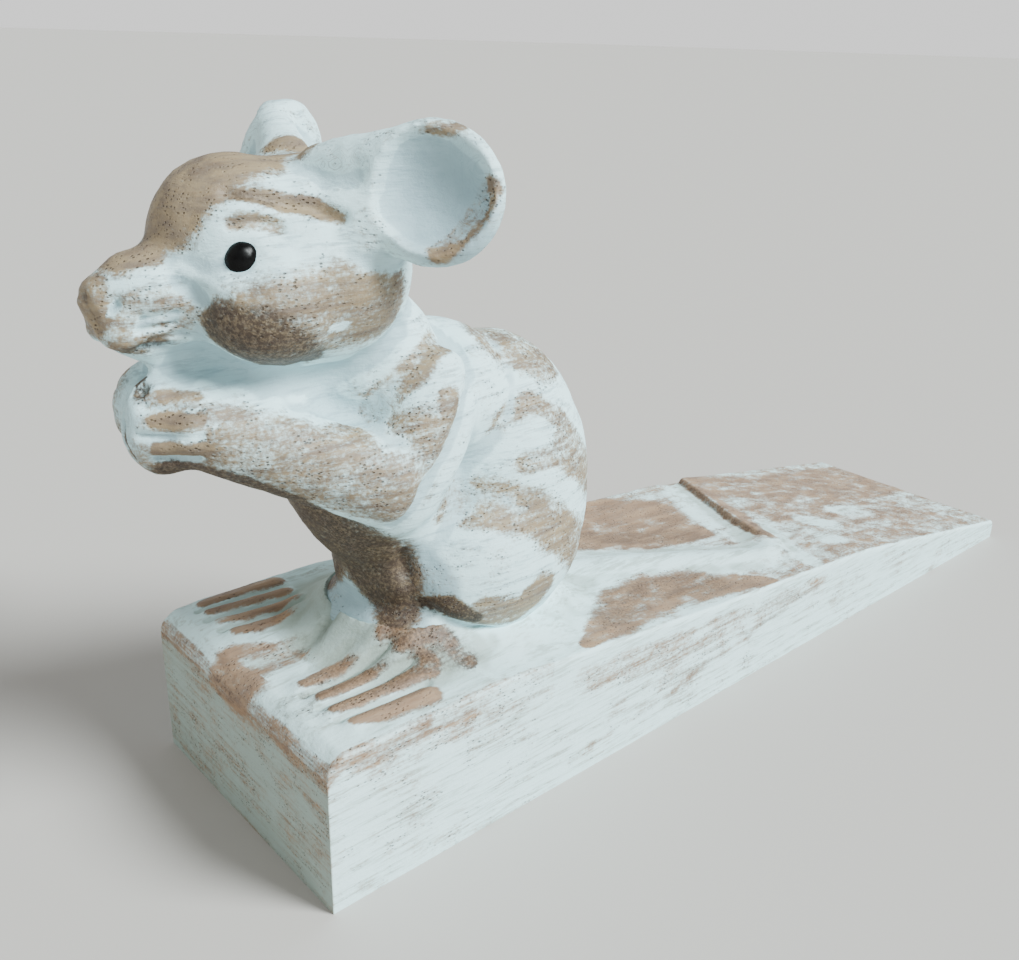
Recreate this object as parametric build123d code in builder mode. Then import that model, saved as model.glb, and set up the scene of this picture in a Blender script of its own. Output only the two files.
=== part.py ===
from build123d import *
import os
from math import asin, cos, degrees, radians, sin

# A carved wooden door stop: a sitting mouse, paws to its mouth, on the thick end of a
# tapered wedge, with its tail curled in relief along the slope. Millimetres.
# +X runs from the thick end to the thin tip, the mouse looks towards -X, +Z is up, and
# the origin is the middle of the flat underside.
# The carver's forms are separate solids that meet face to face.

# ---- Driving dimensions: the wedge -------------------------------------------------
wedge_length = 210.0
wedge_width = 54.0
crest_height = 27.4          # level top under the mouse's feet
tip_height = 4.8             # blunt thin end
level_length = 31.5          # level stretch, measured from the thick end
ramp_length = 66.0           # flat ramp that goes under the door, measured from the tip
ramp_height = 16.4           # height where the ramp starts
front_round = 3.2            # worn top edge of the thick end
corner_wear = 0.8            # softened upright corners

# ---- Driving dimensions: the mouse's body ------------------------------------------
seat_from_face = 46.8        # middle of the body, measured from the thick end
body_half_length = 26.6      # at the fullest section
body_half_width = 15.8
body_height = 52.0           # from the crest up to the neck
haunch_half_length = 17.6
haunch_radius = 12.6
haunch_lift = 12.2           # middle of the thigh above the crest
haunch_tilt = 16.0           # the thigh rises towards the rump
haunch_proud = 2.6           # how far a thigh stands out of the flank
upper_arm_length = 17.0      # between its two rounds
shoulder_radius = 6.8
upper_arm_lean = 25.0        # from upright, back towards the shoulder
arm_proud = 3.4              # how far an arm stands out of the flank
elbow_radius = 7.0
elbow_slim = 0.9             # the upper arm is this much slimmer than the elbow
paw_radius = 6.6
paw_gap = 0.5                # slit between the two paws

# ---- Driving dimensions: the head --------------------------------------------------
head_forward = 31.5          # skull's middle ahead of the body's middle
head_lift = 11.5             # skull's middle above the neck
skull_half_length = 17.1
skull_radius = 15.3
brow_forward = 11.7          # brow's middle ahead of the skull's
brow_lift = 3.1
brow_radius = 11.1
nose_forward = 26.1          # nose ball ahead of the skull's middle
nose_drop = 1.8
nose_radius = 4.3
ear_radius = 9.4
ear_thickness = 3.2
ear_dish_depth = 1.8         # hollow inside an ear
ear_rim = 1.5
ear_standoff = 0.5           # gap from the skull's round to an ear's edge
ear_root_radius = 5.2
eye_radius = 2.1
eye_proud = 0.9              # how far an eye stands out of its socket

# ---- Driving dimensions: feet and tail ---------------------------------------------
foot_length = 22.0
foot_width = 15.5
foot_rise = 0.8
foot_spacing = 29.6          # between the middles of the two feet
toe_inset = 6.6              # bare wood in front of the toes
toe_groove_length = 15.0
toe_groove_width = 1.2
toe_groove_depth = 0.6
toes_per_foot = 4
tail_radius = 3.0
tail_taper = 0.25            # slimmer by this much at each bend
tail_slim = 0.15             # each stretch starts inside the round end of the one before
tail_sink = 0.6              # middle line below the slope's surface
curl_depth = 1.8             # hollow cut inside the curl of the tail
curl_corner = 1.5
gouge_depth = 2.2            # gouge that parts the feet, at the thick end
gouge_radius = 9.0
gouge_end_radius = 2.0
gouge_reach = 18.0

# ---- Places worked out from those --------------------------------------------------
face_x = -wedge_length / 2
tip_x = wedge_length / 2
level_end_x = face_x + level_length
ramp_start_x = tip_x - ramp_length
slope_run = ramp_start_x - level_end_x
slope_fall = crest_height - ramp_height
slope_length = Vector(slope_run, 0, slope_fall).length
slope_plane = Plane(
    origin=(level_end_x, 0, crest_height),
    x_dir=(slope_run, 0, -slope_fall),
    z_dir=(slope_fall, 0, slope_run),
)
seat_x = face_x + seat_from_face
neck_z = crest_height + body_height
skull = Vector(seat_x - head_forward, 0, neck_z + head_lift)
brow = skull + Vector(-brow_forward, 0, brow_lift)
nose = skull + Vector(-nose_forward, 0, -nose_drop)


def direction(x, y, z):
    """A unit vector."""
    return Vector(x, y, z).normalized()


def limb(start, end, start_radius, end_radius):
    """A tapered rod with round ends, from one ball's middle to the other's."""
    reach = end - start
    lean = asin((start_radius - end_radius) / reach.length)
    start_touch = (start_radius * sin(lean), start_radius * cos(lean))
    end_touch = (reach.length + end_radius * sin(lean), end_radius * cos(lean))
    across = Vector(0, 0, 1).cross(reach).normalized()
    with BuildPart() as form:
        with BuildSketch(Plane(origin=start, x_dir=reach, z_dir=across)):
            with BuildLine():
                CenterArc((0, 0), start_radius, 90 - degrees(lean), 90 + degrees(lean))
                CenterArc((reach.length, 0), end_radius, 0, 90 - degrees(lean))
                Line(start_touch, end_touch)
                Line((-start_radius, 0), (reach.length + end_radius, 0))
            make_face()
        revolve(axis=Axis(start, reach))
    return form.part


# ---- The wedge ---------------------------------------------------------------------
# The tail's line on the slope: out from the rump, round, and back across to the far side
rump_u = seat_from_face + body_half_length - level_length - 2 * tail_radius
turn_u = slope_length - 7 * tail_radius
near_side = -wedge_width / 2
far_side = wedge_width / 2

with BuildPart() as wedge:
    with BuildSketch(Plane.XZ):
        with BuildLine():
            Polyline(
                (face_x, 0),
                (tip_x, 0),
                (tip_x, tip_height),
                (ramp_start_x, ramp_height),
                (level_end_x, crest_height),
                (face_x, crest_height),
                close=True,
            )
        face_outline = make_face()
        fillet(face_outline.vertices().group_by(Axis.X)[0].sort_by(Axis.Y)[-1], radius=front_round)
    extrude(amount=wedge_width / 2, both=True)
    fillet(wedge.edges().filter_by(Axis.Z), radius=corner_wear)
    # A tapering gouge in the front edge parts the two feet
    gouge_start = Vector(face_x, 0, crest_height + gouge_radius - gouge_depth)
    gouge_end = Vector(face_x + gouge_reach, 0, crest_height + gouge_end_radius)
    add(limb(gouge_start, gouge_end, gouge_radius, gouge_end_radius), mode=Mode.SUBTRACT)
    # The hollow inside the tail's curl, deepest along the tail
    with BuildSketch(slope_plane):
        with BuildLine():
            FilletPolyline(
                (turn_u - 4 * tail_radius, 0),
                (turn_u + 0.6 * tail_radius, near_side + 8 * tail_radius),
                (turn_u + 3.6 * tail_radius, far_side - 3 * tail_radius),
                radius=curl_corner,
                close=True,
            )
        make_face()
    extrude(amount=-curl_depth, mode=Mode.SUBTRACT)
wedge.part.label = "wedge"

# ---- The feet: low pads with toe grooves -------------------------------------------
toe_pitch = foot_width / toes_per_foot
with BuildPart() as foot_left:
    with BuildSketch(Plane.XY.offset(crest_height)):
        with Locations((face_x + toe_inset + foot_length / 2, -foot_spacing / 2)):
            RectangleRounded(foot_length, foot_width, foot_width / 3)
    extrude(amount=foot_rise)
    with BuildSketch(Plane.XY.offset(crest_height + foot_rise)):
        with Locations((face_x + toe_inset + toe_groove_length / 2, -foot_spacing / 2)):
            with GridLocations(0, toe_pitch, 1, toes_per_foot - 1):
                SlotOverall(toe_groove_length, toe_groove_width)
    extrude(amount=-toe_groove_depth, mode=Mode.SUBTRACT)
foot_left.part.label = "foot_left"

with BuildPart() as foot_right:
    mirror(foot_left.part, about=Plane.XZ)
foot_right.part.label = "foot_right"

# ---- The eyes ----------------------------------------------------------------------
eye_side = direction(-0.25, -0.96, 0.10)
eye_middle = brow + eye_side * (brow_radius - eye_radius + eye_proud)
with BuildPart(Plane(origin=eye_middle)) as eye_left:
    Sphere(eye_radius)
eye_left.part.label = "eye_left"

with BuildPart() as eye_right:
    mirror(eye_left.part, about=Plane.XZ)
eye_right.part.label = "eye_right"

# ---- The head: skull, brow and muzzle, with two eye sockets ------------------------
with BuildPart() as head:
    skull_reach = Vector(skull_half_length - skull_radius, 0, 0)
    add(limb(skull - skull_reach, skull + skull_reach, skull_radius, skull_radius))
    add(limb(brow, nose, brow_radius, nose_radius))
    add(eye_left.part, mode=Mode.SUBTRACT)
    add(eye_right.part, mode=Mode.SUBTRACT)
head.part.label = "head"

# ---- The ears: dished discs, each on a short root ----------------------------------
ear_side = direction(0.40, -0.79, 0.47)
ear_middle = skull + ear_side * (skull_radius + ear_radius + ear_standoff)
ear_facing = direction(-0.62, -0.74, 0.20)
with BuildPart() as ear_left:
    add(limb(ear_middle - ear_facing * ear_root_radius, skull, ear_root_radius, ear_root_radius))
    with Locations(Plane(origin=ear_middle, z_dir=ear_facing)):
        Cylinder(ear_radius, ear_thickness)
    with Locations(Plane(origin=ear_middle + ear_facing * (ear_thickness / 2), z_dir=ear_facing)):
        Cone(
            ear_radius - ear_rim - ear_dish_depth,
            ear_radius - ear_rim,
            ear_dish_depth,
            align=(Align.CENTER, Align.CENTER, Align.MAX),
            mode=Mode.SUBTRACT,
        )
    add(head.part, mode=Mode.SUBTRACT)
ear_left.part.label = "ear_left"

with BuildPart() as ear_right:
    mirror(ear_left.part, about=Plane.XZ)
ear_right.part.label = "ear_right"

# ---- The torso: rump, back, belly and neck in one form ------------------------------
# Each section: height as a share of the body's height, then its middle's setback and
# half length as shares of the body's half length, and its share of the half width.
torso_sections = [
    (-0.14, 0.17, 0.78, 0.93),
    (0.15, 0.00, 0.93, 0.98),
    (0.33, -0.07, 1.00, 1.00),
    (0.50, -0.11, 1.00, 0.99),
    (0.67, -0.14, 0.95, 0.96),
    (0.85, -0.24, 0.78, 0.86),
    (0.99, -0.61, 0.44, 0.72),
    (1.09, -0.89, 0.38, 0.62),
    (1.18, -1.06, 0.32, 0.50),
]
with BuildPart() as torso:
    for height, setback, length, width in torso_sections:
        section_middle = (seat_x + setback * body_half_length, 0, crest_height + height * body_height)
        with BuildSketch(Plane(origin=section_middle)):
            Ellipse(length * body_half_length, width * body_half_width)
    loft()
    for neighbour in (wedge, foot_left, foot_right, head):
        add(neighbour.part, mode=Mode.SUBTRACT)
torso.part.label = "torso"

# ---- The haunches -------------------------------------------------------------------
haunch_middle = Vector(
    seat_x, haunch_radius - body_half_width - haunch_proud, crest_height + haunch_lift
)
haunch_reach = Vector(cos(radians(haunch_tilt)), 0, sin(radians(haunch_tilt))) * (
    haunch_half_length - haunch_radius
)
with BuildPart() as haunch_left:
    add(limb(haunch_middle - haunch_reach, haunch_middle + haunch_reach, haunch_radius, haunch_radius))
    for neighbour in (wedge, foot_left, torso):
        add(neighbour.part, mode=Mode.SUBTRACT)
haunch_left.part.label = "haunch_left"

with BuildPart() as haunch_right:
    mirror(haunch_left.part, about=Plane.XZ)
haunch_right.part.label = "haunch_right"

# ---- The arms: upper arm, forearm and paw, the paws meeting under the chin ----------
flank_y = -body_half_width - arm_proud
elbow = Vector(
    seat_x - 0.98 * body_half_length, flank_y + elbow_radius, crest_height + 0.63 * body_height
)
upper_arm_along = Vector(sin(radians(upper_arm_lean)), 0, cos(radians(upper_arm_lean)))
shoulder = elbow + upper_arm_along * upper_arm_length
paw = Vector(nose.X + 0.5 * nose_radius, -0.55 * paw_radius, nose.Z - nose_radius - 2.0 * paw_radius)
with BuildPart() as arm_left:
    add(limb(shoulder, elbow, shoulder_radius, elbow_radius - elbow_slim))
    add(limb(elbow, paw, elbow_radius, paw_radius))
    with Locations((paw.X, -paw_gap / 2, paw.Z)):
        Box(
            4 * body_half_length,
            2 * paw_radius,
            body_height,
            align=(Align.CENTER, Align.MIN, Align.CENTER),
            mode=Mode.SUBTRACT,
        )
    for neighbour in (torso, head, haunch_left):
        add(neighbour.part, mode=Mode.SUBTRACT)
arm_left.part.label = "arm_left"

with BuildPart() as arm_right:
    mirror(arm_left.part, about=Plane.XZ)
arm_right.part.label = "arm_right"

# ---- The tail: rounded relief along the slope, out, round and back across -----------
tail_line = [
    (rump_u, 0),
    ((rump_u + turn_u) / 2, -2 * tail_radius),
    (turn_u, near_side + 3 * tail_radius),
    (slope_length - 1.5 * tail_radius, far_side - 2 * tail_radius),
]
tail_points = [slope_plane.from_local_coords(Vector(u, v, -tail_sink)) for u, v in tail_line]
tail_radii = [tail_radius + tail_taper * (1 - step) for step in range(len(tail_line))]
with BuildPart() as tail:
    for step in range(len(tail_line) - 1):
        start_radius = tail_radii[step] - tail_slim
        add(limb(tail_points[step], tail_points[step + 1], start_radius, tail_radii[step + 1]))
    for neighbour in (wedge, torso):
        add(neighbour.part, mode=Mode.SUBTRACT)
tail.part.label = "tail"

pieces = [
    wedge,
    tail,
    foot_left,
    foot_right,
    torso,
    haunch_left,
    haunch_right,
    arm_left,
    arm_right,
    head,
    ear_left,
    ear_right,
    eye_left,
    eye_right,
]
os.makedirs("parts", exist_ok=True)
for piece in pieces:
    export_step(piece.part, "parts/" + piece.part.label + ".step")
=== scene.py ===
# %% [markdown]
# # A carved mouse door stop
# The real object is one block of light wood: a tapered wedge with a sitting mouse carved on its
# thick end, brushed all over with limewash and then sanded back, with two glossy black eyes. This
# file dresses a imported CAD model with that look. Everything is in metres, in the CAD model's own
# frame: +X towards the thin tip, the mouse looking towards -X, +Z up from the floor.

# %% Load the frame
from math import cos, pi, radians, sin

import bpy
import numpy as np
from mathutils import Matrix, Vector, bvhtree


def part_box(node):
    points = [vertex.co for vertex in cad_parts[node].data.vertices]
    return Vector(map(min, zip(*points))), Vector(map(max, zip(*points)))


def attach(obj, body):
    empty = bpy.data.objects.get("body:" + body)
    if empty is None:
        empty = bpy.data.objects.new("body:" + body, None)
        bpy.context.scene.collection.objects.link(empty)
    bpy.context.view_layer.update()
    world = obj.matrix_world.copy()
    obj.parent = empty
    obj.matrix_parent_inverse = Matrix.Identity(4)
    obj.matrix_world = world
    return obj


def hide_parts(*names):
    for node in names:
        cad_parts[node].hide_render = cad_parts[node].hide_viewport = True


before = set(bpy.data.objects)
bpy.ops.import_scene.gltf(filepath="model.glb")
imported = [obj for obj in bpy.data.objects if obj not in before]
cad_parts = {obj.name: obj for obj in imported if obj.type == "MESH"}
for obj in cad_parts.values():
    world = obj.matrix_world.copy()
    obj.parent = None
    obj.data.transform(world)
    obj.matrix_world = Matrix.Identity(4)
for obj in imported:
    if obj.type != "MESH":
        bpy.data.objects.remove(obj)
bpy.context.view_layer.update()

# %% [markdown]
# ## Measures
# A carver marks out from two places: the thick end of the block and the table it stands on. The
# helper `at` does the same: millimetres from the thick end, from the middle plane and above the
# table, turned into a place in the frame. The two starting places are read from the wedge's box,
# so nothing has to be fitted by eye afterwards.

# %% Measures
MM = 0.001
wedge_low, wedge_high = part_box("wedge")
wedge_length = (wedge_high[0] - wedge_low[0]) / MM
wedge_width = (wedge_high[1] - wedge_low[1]) / MM
crest_height = (wedge_high[2] - wedge_low[2]) / MM


def at(x, y, z):
    return Vector((wedge_low[0] + x * MM, y * MM, wedge_low[2] + z * MM))


print(f"wedge {wedge_length:.1f} x {wedge_width:.1f} x {crest_height:.1f} mm")

# %% [markdown]
# ## Camera
# The camera stands at the mouse's left, a little above it, close to the object as a phone is held
# for a small thing, so the wedge shortens strongly towards its tip. A constraint could aim it, but
# three plain rotations, heading, tilt and a slight roll, say exactly how the hand held it.

# %% Camera
camera_place = at(-62.5, -132.4, 121.7)
camera_heading = radians(-42.12)
camera_tilt = radians(67.26)
camera_roll = radians(1.76)
camera_data = bpy.data.cameras.new("camera")
camera_data.sensor_width = 36.0
camera_data.lens = 37.26
camera_data.clip_start = 0.01
camera = bpy.data.objects.new("camera", camera_data)
bpy.context.scene.collection.objects.link(camera)
camera.matrix_world = (
    Matrix.Translation(camera_place)
    @ Matrix.Rotation(camera_heading, 4, "Z")
    @ Matrix.Rotation(camera_tilt, 4, "X")
    @ Matrix.Rotation(camera_roll, 4, "Z")
)
bpy.context.scene.camera = camera
print("camera at", camera_place, "lens", camera_data.lens)

# %% [markdown]
# ## Floor
# A door stop stands on a floor. A plain pale sheet is enough, and one large plane shows no edge.
# It lies a hair below the wedge, so that two surfaces never share one height.

# %% Floor
floor_size, floor_gap = 60.0, 0.02 * MM
bpy.ops.mesh.primitive_plane_add(size=floor_size, location=(0, 0, wedge_low[2] - floor_gap))
floor = bpy.context.object
floor.name = "floor"
floor_finish = bpy.data.materials.new("pale_floor")
floor_finish.use_nodes = True
floor_shader = floor_finish.node_tree.nodes["Principled BSDF"]
floor_shader.inputs["Base Color"].default_value = (0.47, 0.455, 0.43, 1.0)
floor_shader.inputs["Roughness"].default_value = 0.8
floor.data.materials.append(floor_finish)
print("floor at", floor.location.z)

# %% [markdown]
# ## Lamps
# The light is soft daylight from the tail's side. Area lamps would have to be placed and sized,
# but a sun needs only a direction and a softness. So one strong sun is the window, and one weak and
# very soft sun is the warm light that the room gives back.


# %% Lamps
def sun(name, come_from, strength, softness, colour):
    lamp_data = bpy.data.lights.new(name, "SUN")
    lamp_data.energy = strength
    lamp_data.angle = radians(softness)
    lamp_data.color = colour
    lamp = bpy.data.objects.new(name, lamp_data)
    bpy.context.scene.collection.objects.link(lamp)
    lamp.rotation_euler = Vector(come_from).to_track_quat("Z", "Y").to_euler()
    print("lamp", name, strength)


sun("window", (0.40, -0.66, 0.64), strength=8.2, softness=24, colour=(0.93, 0.99, 1.0))
sun("room", (-0.75, 0.2, 0.6), strength=0.35, softness=60, colour=(1.0, 0.96, 0.84))

# %% [markdown]
# ## Sky
# Undersides and walls get their light from low down, where a pale room is brightest. So the sky is
# one pale colour, and its strength falls with the height of the direction.

# %% Sky
low_strength, high_strength, low_direction, high_direction = 1.19, 0.52, 0.10, 0.30
sky = bpy.data.worlds.new("sky")
bpy.context.scene.world = sky
sky.use_nodes = True
sky_tree = sky.node_tree
direction = sky_tree.nodes.new("ShaderNodeTexCoord").outputs["Generated"]
split = sky_tree.nodes.new("ShaderNodeSeparateXYZ")
haze = sky_tree.nodes.new("ShaderNodeMapRange")
sky_tree.links.new(direction, split.inputs["Vector"])
sky_tree.links.new(split.outputs["Z"], haze.inputs["Value"])
for socket, value in enumerate((low_direction, high_direction, low_strength, high_strength), start=1):
    haze.inputs[socket].default_value = value
background = sky_tree.nodes["Background"]
background.inputs["Color"].default_value = (0.95, 0.955, 0.95, 1.0)
sky_tree.links.new(haze.outputs["Result"], background.inputs["Strength"])
print("sky from", low_strength, "to", high_strength)

# %% [markdown]
# ## Modelling helpers
# Each helper is something done by hand in the viewport: click, apply a modifier, add a lump of
# clay, join lumps.


# %% Clicking and applying
def pick(*pieces):
    bpy.ops.object.select_all(action="DESELECT")
    for piece in pieces:
        piece.select_set(True)
    bpy.context.view_layer.objects.active = pieces[0]


def settle(piece):
    pick(piece)
    bpy.ops.object.transform_apply(location=True, rotation=True, scale=True)


def modify(piece, kind, **settings):
    pick(piece)
    modifier = piece.modifiers.new(kind.lower(), kind)
    for setting, value in settings.items():
        setattr(modifier, setting, value)
    bpy.ops.object.modifier_apply(modifier=modifier.name)


# %% Clay
def lump(place, radii, turn=(0, 0, 0), facing=None):
    """A ball stretched to three radii in mm, turned in degrees, or with its X axis facing a way."""
    angles = [radians(angle) for angle in turn]
    if facing:
        angles = Vector(facing).to_track_quat("X", "Z").to_euler()
    bpy.ops.object.select_all(action="DESELECT")
    bpy.ops.mesh.primitive_uv_sphere_add(
        segments=40, ring_count=24, radius=MM, location=at(*place), rotation=angles, scale=radii
    )
    piece = bpy.context.object
    settle(piece)
    return piece


def rod(start, end, start_radius, end_radius, beads=7):
    """A string of balls from start to end, close enough to melt into one limb."""
    pieces = []
    for bead in range(beads):
        share = bead / (beads - 1)
        place = [a + (b - a) * share for a, b in zip(start, end)]
        radius = start_radius + (end_radius - start_radius) * share
        pieces.append(lump(place, (radius, radius, radius)))
    return pieces


def join(pieces, name):
    pick(*pieces)
    bpy.ops.object.join()
    piece = bpy.context.object
    piece.name = name
    return piece


# %% [markdown]
# ## The mouse, blocked out
# A carver first saws and rounds the big masses: rump, chest, haunches, arms and head. Sculpting
# can't be written down in measures, so each mass is a stretched ball with a place and three radii.

# %% Masses along the middle
masses = [
    lump((51.5, 0, 47.5), (20.0, 16.6, 29.0), (0, -4, 0)),  # rump and back
    lump((27.2, 0, 55.7), (13.8, 12.8, 22.0), (0, -32, 0)),  # chest
    lump((30.5, 0, 39.5), (9.0, 12.0, 9.5)),  # belly
    lump((31.5, 0, 29.5), (12.5, 14.5, 7.0)),  # mound that the belly stands on
    lump((26.0, 0, 75.0), (12.0, 11.6, 12.0)),  # neck
    lump((38.5, 0, 67.0), (14.0, 13.5, 13.0)),  # shoulders
    lump((7.0, 0, 74.0), (14.0, 7.5, 9.0), (0, 12, 0)),  # wood left between the arms
    lump((15.3, 0, 91.2), (17.0, 15.5, 15.2)),  # skull
    lump((6.0, 0, 95.8), (12.2, 11.4, 11.2)),  # forehead
    lump((-5.5, 0, 89.6), (8.8, 7.0, 6.2), (0, 8, 0)),  # muzzle
    lump((-6.0, 0, 85.5), (7.4, 5.8, 4.8)),  # chin
    lump((-13.6, 0, 89.8), (3.2, 3.2, 3.0)),  # nose
]
print(len(masses), "masses along the middle")

# %% [markdown]
# ## Sides, paws and skin
# Haunches, arms and cheeks come in pairs, so one loop places both. The paws are clasped a little
# unevenly, so each has its own ball. Voxel Remesh turns the heap into one closed skin, which
# joining alone wouldn't, and Smooth melts the creases between masses, as coarse sanding does.

# %% Sides, paws and skin
left, right = -1, 1
for side in (left, right):
    masses += [
        lump((46.0, side * 10.8, 39.5), (17.8, 8.0, 14.4), (0, -15, 0)),  # haunch
        lump((27.5, side * 11.6, 64.5), (8.6, 6.6, 15.5), (0, 25, 0)),  # upper arm
        lump((7.0, side * 8.0, 88.5), (11.0, 8.2, 9.0)),  # cheek
        lump((-11.4, side * 2.0, 86.0), (4.2, 3.0, 3.8)),  # lip
    ]
    masses += rod((19.5, side * 12.8, 60.5), (-5.0, side * 4.4, 72.5), 6.9, 6.0)  # forearm
masses += [
    lump((-8.6, -2.9, 72.4), (5.4, 4.6, 7.2)),  # left paw
    lump((-6.6, 4.2, 72.6), (5.4, 4.4, 7.0)),  # right paw
]
mouse = join(masses, "mouse")
modify(mouse, "REMESH", mode="VOXEL", voxel_size=1.2 * MM)
modify(mouse, "SMOOTH", factor=0.5, iterations=8)
print("mouse", len(mouse.data.vertices), "points from", len(masses), "masses")

# %% [markdown]
# ## Ears
# The ears are thick discs hollowed with a gouge, on short roots that run into the head. Each is a
# flat ball with two rods for the root. A ball taken away with a Boolean leaves the cup, as a gouge
# does. A last, finer remesh makes mouse and ears one skin, with no seam at the root.

# %% Ears
ear_radii, cup_radius, cup_distance = (4.4, 9.7, 9.9), 10.0, 7.4
ears = []
for side, place, facing in [
    (left, (24.7, -19.6, 102.6), (-0.62, -0.74, 0.24)),
    (right, (23.8, 20.0, 102.8), (-0.42, 0.88, 0.20)),
]:
    facing = Vector(facing).normalized()
    centre = Vector(place)
    ear = lump(centre - facing * 1.0, ear_radii, facing=facing)
    root = rod(centre - facing * 3.0, (16, side * 7, 96), 5.0, 7.5)
    root += rod(centre - facing * 1.5 + Vector((-1.5, 0, 6.6)), (17, side * 5, 104), 3.0, 4.2)
    ear = join([ear] + root, "ear")
    modify(ear, "REMESH", mode="VOXEL", voxel_size=0.7 * MM)
    modify(ear, "SMOOTH", factor=0.5, iterations=4)
    cup = lump(centre + facing * cup_distance, (cup_radius, cup_radius, cup_radius))
    modify(ear, "BOOLEAN", operation="DIFFERENCE", object=cup, solver="EXACT")
    bpy.data.objects.remove(cup)
    ears.append(ear)
mouse = join([mouse] + ears, "mouse")
modify(mouse, "REMESH", mode="VOXEL", voxel_size=0.6 * MM)
modify(mouse, "SMOOTH", factor=0.5, iterations=3)
print("mouse with ears", len(mouse.data.vertices), "points")

# %% [markdown]
# ## The carving tool
# With the masses right, the carver cuts the details with a V-tool. A Boolean for every cut would
# leave hard edges, so `carve` weights the points near a line and a Displace modifier presses them
# in along their normals. A minus depth raises a ridge. `both` adds the same line on the far side.


# %% Points and distances
block_corner = np.array([wedge_low[0], 0.0, wedge_low[2]]) / MM


def places(piece):
    """The points of a piece in the measures of `at`, one row each."""
    metres = np.empty(len(piece.data.vertices) * 3)
    piece.data.vertices.foreach_get("co", metres)
    return metres.reshape(-1, 3) / MM - block_corner


def along_line(spots, line):
    """How far each spot is from a line of points, and its share of the way along it."""
    line = np.array(line, dtype=float)
    if len(line) == 1:
        return np.linalg.norm(spots - line[0], axis=1), np.zeros(len(spots))
    nearest = np.full(len(spots), np.inf)
    share = np.zeros(len(spots))
    for step, (start, end) in enumerate(zip(line[:-1], line[1:])):
        run = end - start
        here = np.clip((spots - start) @ run / (run @ run), 0, 1)
        distance = np.linalg.norm(spots - start - here[:, None] * run, axis=1)
        closer = distance < nearest
        nearest = np.where(closer, distance, nearest)
        share = np.where(closer, (step + here) / (len(line) - 1), share)
    return nearest, share


def from_line(spots, line):
    return along_line(spots, line)[0]


def bump(distance, width):
    return np.exp(-((distance / width) ** 2))


print("a bump at 0, 1 and 2 widths is", bump(np.array([0.0, 1.0, 2.0]), 1.0).round(2))


# %% V-tool
def both(*lines):
    mirrored = [[(x, -y, z) for x, y, z in line] for line in lines]
    return list(lines) + mirrored


def carve(piece, lines, width, depth):
    spots = places(piece)
    weights = np.zeros(len(spots))
    for line in lines:
        weights = np.maximum(weights, bump(from_line(spots, line), width))
    group = piece.vertex_groups.new(name="cut")
    touched = np.flatnonzero(weights > 0.01)
    for index in touched:
        group.add([int(index)], float(weights[index]), "REPLACE")
    modify(piece, "DISPLACE", strength=-depth * MM, mid_level=0.0, vertex_group="cut")
    piece.vertex_groups.clear()
    print(f"{len(lines)} cuts, {width} mm wide, {depth} mm deep, {len(touched)} points")


# %% [markdown]
# ## Creases
# Deep, soft creases part the arms from the back, the thighs from the belly and the jaw from the
# throat. They bend round the body, so each is a line of points laid on the skin. The slit between
# the clasped paws and the small hole at its top are single cuts.

# %% Creases
shoulder_crease = [
    (36.5, -4.5, 79.5), (38.6, -8, 77.4), (37.8, -12, 74.5), (34, -16, 71.5),
    (31.3, -17.5, 67.5), (28.4, -18, 63.5), (24.5, -18, 59.5), (20, -15, 53),
]
haunch_crease = [
    (25.5, -9.5, 49), (26.3, -9.8, 42.6), (28.4, -9.6, 37),
    (30, -12.6, 34.6), (33, -14.8, 32), (40, -15.6, 28),
]
jaw_crease = [
    (-7.3, -4.4, 82.6), (-2.4, -4.5, 81.3), (1, -6.2, 79.8), (5, -7.6, 77.8), (10.6, -8, 76.2),
    (16.8, -8.4, 76.6), (22, -10.2, 79), (26, -9.7, 82),
]
paw_slit = [
    (-9.8, 1.6, 79), (-12.6, -0.6, 76.6), (-13.4, -2.4, 73.5), (-12.2, -3.0, 69.6), (-8.0, -2.6, 66.0),
]
paw_hole = (-11.2, -3.5, 78.4)
carve(mouse, both(shoulder_crease), width=2.0, depth=1.1)
carve(mouse, both(haunch_crease), width=1.3, depth=1.1)
carve(mouse, both(jaw_crease), width=1.8, depth=0.9)
carve(mouse, [paw_slit], width=0.9, depth=1.9)
carve(mouse, [[paw_hole]], width=1.1, depth=1.8)

# %% [markdown]
# ## Nose, mouth and whiskers
# The nostrils are small V cuts, the mouth is one curved cut and the whiskers are three short ones
# on each cheek. They are narrow, which is why the last remesh was a fine one.

# %% Nose, mouth and whiskers
nostril = [(-15.6, -0.9, 90.6), (-14.4, -2.3, 86.9), (-12.8, -3.8, 89.9)]
mouth = [(-13.4, 0, 84.3), (-12.7, -1.8, 83.6), (-10.3, -4, 83.5), (-7.4, -4.9, 83.1)]
whiskers = [
    [(-11.0, -4.9, 86.3), (-6.4, -6.3, 86.9)],
    [(-9.4, -4.9, 84.7), (-5.6, -6.0, 85.2)],
    [(-10.6, -5.2, 87.8), (-6.2, -6.7, 88.3)],
]
carve(mouse, both(nostril), width=0.6, depth=0.95)
carve(mouse, both(mouth), width=0.9, depth=0.9)
carve(mouse, both(*whiskers), width=0.5, depth=0.85)

# %% [markdown]
# ## Brows and eye sockets
# A long brow cut and a short lid cut lie over each eye, and a low ridge with a hollow beside it
# runs to the nose. The socket is one wide, shallow dent, and a thin raised rim round it is built
# as a ring of points, because the lacquered eye sits inside that rim.

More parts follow.
